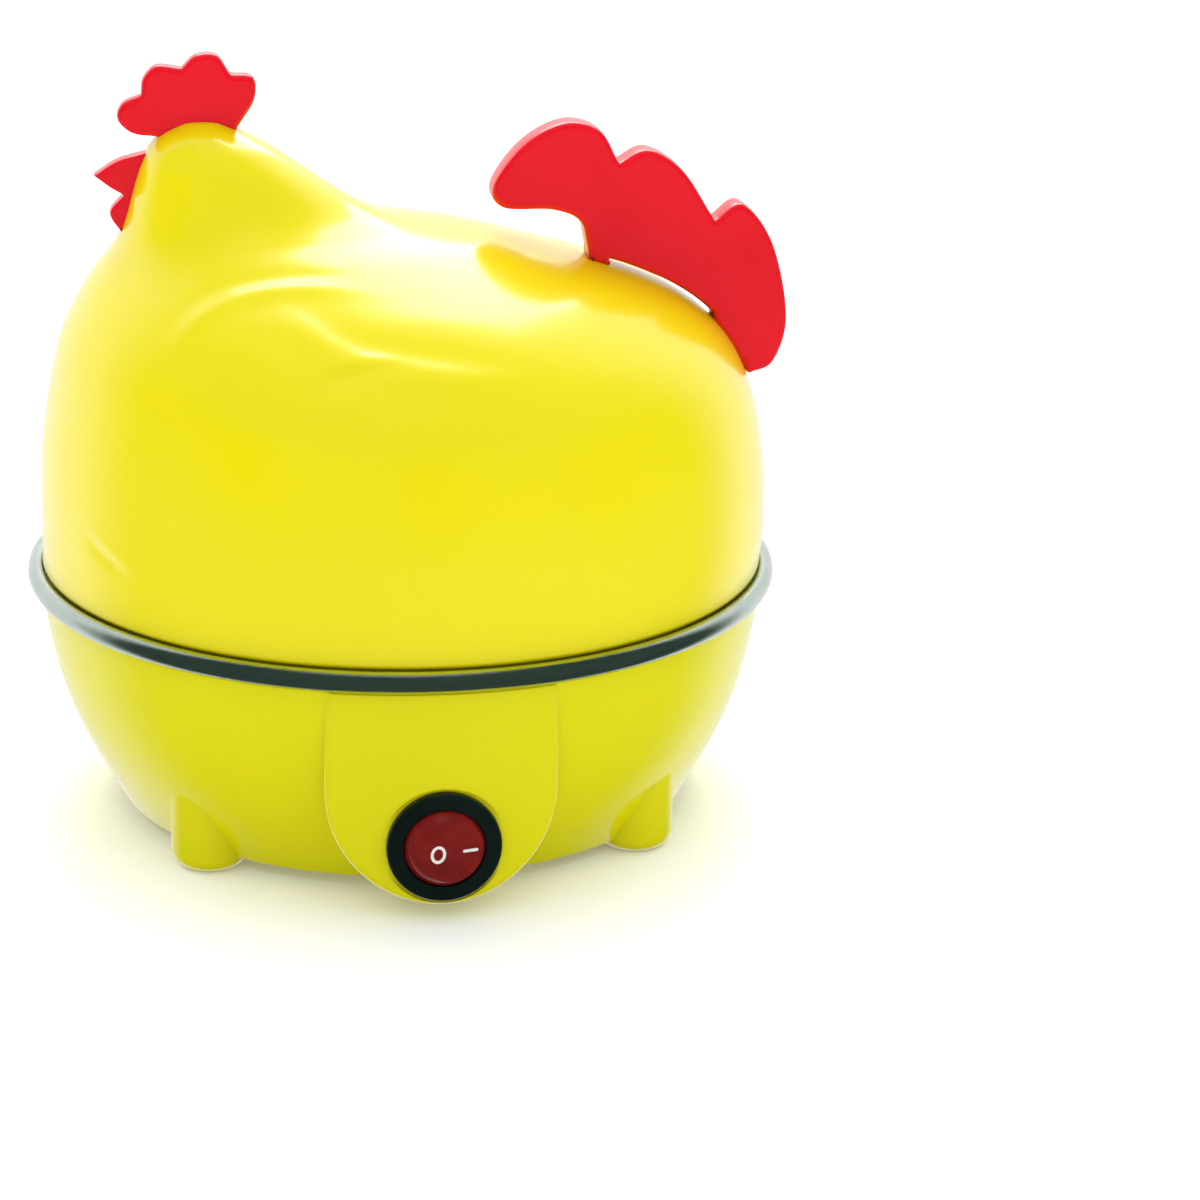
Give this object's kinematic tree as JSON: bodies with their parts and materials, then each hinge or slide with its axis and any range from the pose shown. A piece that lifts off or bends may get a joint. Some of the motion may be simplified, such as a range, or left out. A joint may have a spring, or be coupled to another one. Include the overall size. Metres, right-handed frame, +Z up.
{
  "type": "egg cooker",
  "caption": "Hen-shaped electric egg cooker: round base with a heating dish and rocker switch, lift-out egg tray and domed hen lid with comb, beak and tail handle.",
  "frame": {"origin": "on the ground under the axis of the round base", "axes": "+X from the beak to the tail, -Y the side with the switch, +Z up"},
  "size_m": [0.1622, 0.1626, 0.1605],
  "materials": {
    "yellow_plastic_base": "glossy moulded yellow",
    "yellow_plastic_lid": "glossy moulded yellow",
    "zinc_screws": "zinc plated",
    "dish_steel": "bright rolled stainless steel",
    "cast_aluminium": "as cast",
    "element_sheath": "heat dulled tube",
    "tinned_brass": "tinned tabs",
    "thermostat_body": "phenolic moulding",
    "fuse_metal": "drawn case",
    "glass_fibre_sleeve": "woven glass fibre",
    "block_plastic": "natural nylon",
    "black_plastic": "smooth black",
    "red_translucent": "clear red",
    "lamp_glass": "clear neon glass",
    "wire_brown": "silicone insulation",
    "wire_blue": "silicone insulation",
    "white_plastic": "moulded white",
    "red_plastic": "glossy moulded red"
  },
  "bodies": {
    "base": {"base_shell": "yellow_plastic_base", "bottom_cover": "yellow_plastic_base", "bottom_cover_screws": "zinc_screws", "heating_dish": "dish_steel", "dish_brackets": "dish_steel", "dish_screws": "zinc_screws", "heater_plate": "cast_aluminium", "heater_element": "element_sheath", "heater_terminals": "tinned_brass", "thermostat": "thermostat_body", "thermostat_terminals": "tinned_brass", "thermostat_strap": "dish_steel", "thermostat_strap_screws": "zinc_screws", "thermal_fuse": "fuse_metal", "fuse_sleeve": "glass_fibre_sleeve", "terminal_block": "block_plastic", "terminal_block_screws": "zinc_screws", "cord_gland": "black_plastic", "switch_housing": "black_plastic", "switch_base": "black_plastic", "switch_terminals": "tinned_brass", "switch_contact": "tinned_brass", "switch_lamp": "lamp_glass", "live_wire": "wire_brown", "switch_wire": "wire_brown", "thermostat_wire": "wire_brown", "heater_wire": "wire_brown", "neutral_wire": "wire_blue"},
    "rocker": {"rocker_button": "red_translucent"},
    "tray": {"egg_tray": "white_plastic"},
    "lid": {"lid_shell": "yellow_plastic_lid", "comb": "red_plastic", "beak_and_wattle": "red_plastic", "tail_handle": "red_plastic", "tail_screws": "zinc_screws"}
  },
  "joints": [
    {"name": "rocker_tilt", "type": "hinge", "parent": "base", "child": "rocker", "pos_m": [0, -0.0746, 0.016], "axis": [0, 0, -1], "range_deg": [0, 28]},
    {"name": "tray_lift", "type": "slide", "parent": "base", "child": "tray", "axis": [0, 0, 1], "range_m": [0, 0.08]},
    {"name": "lid_lift", "type": "slide", "parent": "tray", "child": "lid", "axis": [0, 0, 1], "range_m": [0, 0.12]}
  ]
}
